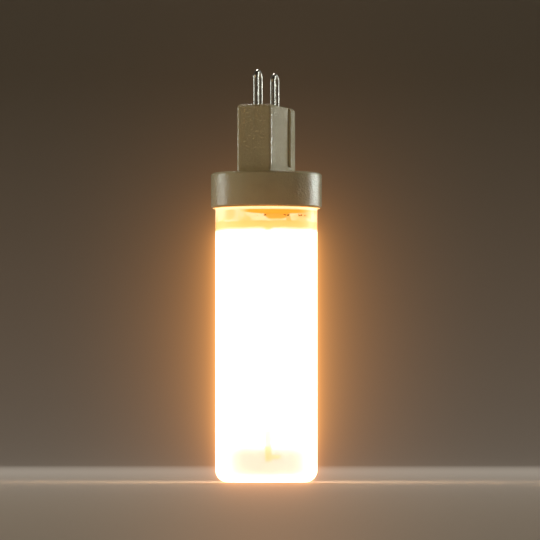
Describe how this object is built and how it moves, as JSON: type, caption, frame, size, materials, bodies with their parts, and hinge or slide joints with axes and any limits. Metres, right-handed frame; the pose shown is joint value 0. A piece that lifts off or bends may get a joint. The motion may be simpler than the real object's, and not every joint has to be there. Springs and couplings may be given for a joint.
{
  "type": "led capsule bulb",
  "caption": "Slim LED capsule bulb: frosted tube with a closed flat end, off-white collar and flat plug tongue, and two wire contact loops.",
  "frame": {"origin": "middle of the flat closed end of the cover", "axes": "+Z along the bulb towards the contact loops, Y along the width of the tongue and from loop to loop, X through its thickness"},
  "size_m": [0.0174, 0.0174, 0.0646],
  "materials": {
    "frosted_cover": "frosted and translucent, lit warm white from inside",
    "base_plastic": "off-white moulding, glossy with a fine orange peel",
    "clear_adhesive": "cloudy silicone with small bubbles",
    "contact_wire": "nickel-plated round wire",
    "board_white": "white solder mask on glass-fibre board",
    "led_carrier": "white moulded carrier",
    "led_phosphor": "yellow silicone over the diode, lit",
    "chip_black": "black moulded package",
    "tinned_lead": "tinned metal",
    "capacitor_tan": "fired tan ceramic",
    "resistor_body": "lacquered round resistor body",
    "solder": "bright solder"
  },
  "bodies": {
    "root": {"cover_tube": "frosted_cover", "base_housing": "base_plastic", "adhesive_bead": "clear_adhesive", "contact_loop_left": "contact_wire", "contact_loop_right": "contact_wire", "led_board": "board_white", "led_frames_front": "led_carrier", "led_frames_back": "led_carrier", "led_phosphor_front": "led_phosphor", "led_phosphor_back": "led_phosphor", "bridge_rectifier": "chip_black", "rectifier_leads": "tinned_lead", "driver_chip": "chip_black", "driver_leads": "tinned_lead", "ceramic_capacitor": "capacitor_tan", "capacitor_ends": "tinned_lead", "fusible_resistor": "resistor_body", "fusible_resistor_caps": "tinned_lead", "sense_resistors": "chip_black", "sense_resistor_ends": "tinned_lead", "pin_solder_left": "solder", "pin_solder_right": "solder", "link_wire": "contact_wire", "link_solder": "solder"}
  },
  "joints": []
}
